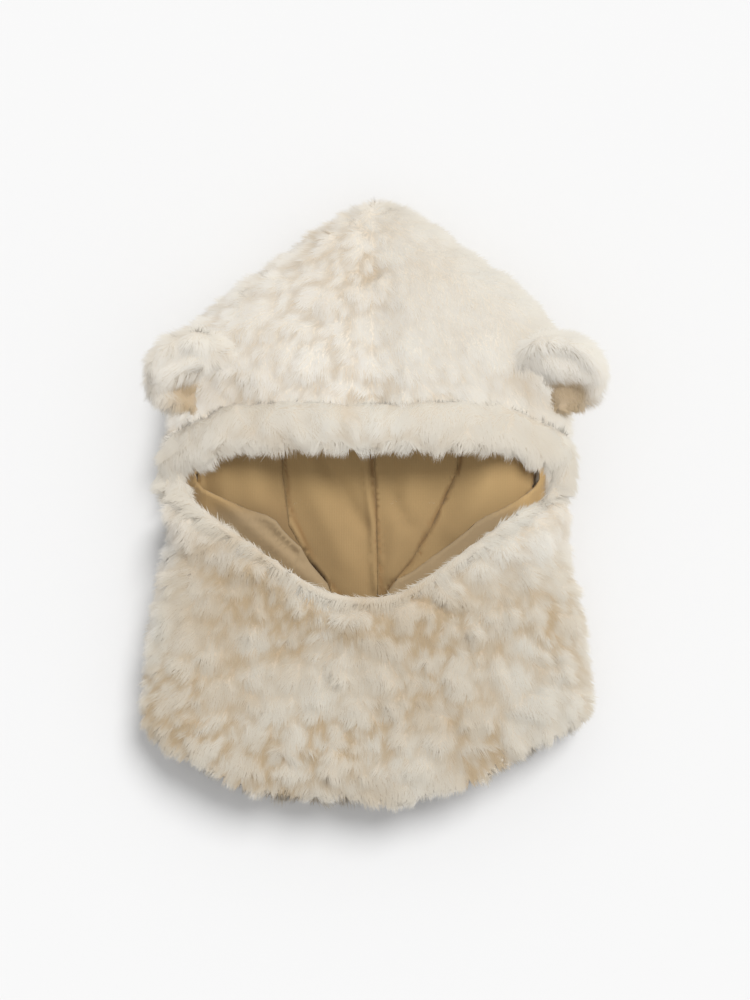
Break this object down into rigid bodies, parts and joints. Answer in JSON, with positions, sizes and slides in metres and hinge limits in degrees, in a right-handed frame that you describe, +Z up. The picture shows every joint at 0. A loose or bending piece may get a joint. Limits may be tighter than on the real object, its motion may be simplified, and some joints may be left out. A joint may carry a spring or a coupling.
{
  "type": "animal hood scarf",
  "caption": "Child's pull-on fur hood with round animal ears, a rolled fur rim round the face, a flared neck cape and a smooth lining, lying on its back",
  "frame": {"origin": "on the surface it lies on, under the middle of the whole piece", "axes": "+Z up out of the face opening, +Y towards the crown, -Y towards the hem of the cape, +X to the right as seen from above"},
  "size_m": [0.271, 0.3556, 0.0769],
  "materials": {
    "fur": "deep cream faux fur, soft and clumped, matt",
    "lining": "plain cream knitted lining, fine and matt"
  },
  "bodies": {
    "root": {"hood_left": "fur", "hood_right": "fur", "neck_cape": "fur", "face_rim": "fur", "ear_left": "fur", "ear_right": "fur", "lining_side_left": "lining", "lining_centre_left": "lining", "lining_centre_right": "lining", "lining_side_right": "lining", "lining_cape": "lining"}
  },
  "joints": []
}
